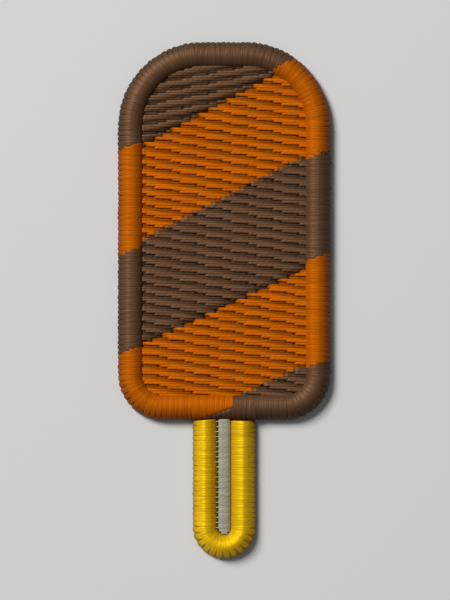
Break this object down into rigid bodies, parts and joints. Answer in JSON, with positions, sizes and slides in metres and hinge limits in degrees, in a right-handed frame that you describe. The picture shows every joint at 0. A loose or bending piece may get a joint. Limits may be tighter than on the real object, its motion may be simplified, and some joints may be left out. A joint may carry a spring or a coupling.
{
  "type": "embroidered patch",
  "caption": "Flat embroidered patch in the form of an ice pop: brown and orange slanting stripes inside a raised satin border, on a yellow and grey stick, over a blue cloth base.",
  "frame": {"origin": "on the underside, below the middle of the whole patch", "axes": "+Y along the pop from its stick to its rounded top, +X to its right seen from the stitched face, +Z out of the stitched face"},
  "size_m": [0.0168, 0.041, 0.0015],
  "materials": {
    "brown_thread": "satin embroidery thread with a soft sheen",
    "orange_thread": "satin embroidery thread with a soft sheen",
    "yellow_thread": "satin embroidery thread with a soft sheen",
    "grey_thread": "satin embroidery thread with a soft sheen",
    "blue_cloth": "matt plain-woven cloth"
  },
  "bodies": {
    "root": {"cloth_base": "blue_cloth", "fill_brown_top": "brown_thread", "fill_orange_upper": "orange_thread", "fill_brown_middle": "brown_thread", "fill_orange_lower": "orange_thread", "fill_brown_corner": "brown_thread", "border_orange_top_right": "orange_thread", "border_brown_right": "brown_thread", "border_orange_right": "orange_thread", "border_brown_bottom": "brown_thread", "border_orange_bottom": "orange_thread", "border_brown_left": "brown_thread", "border_orange_left": "orange_thread", "border_brown_top": "brown_thread", "stick_rim": "yellow_thread", "stick_core": "grey_thread"}
  },
  "joints": []
}
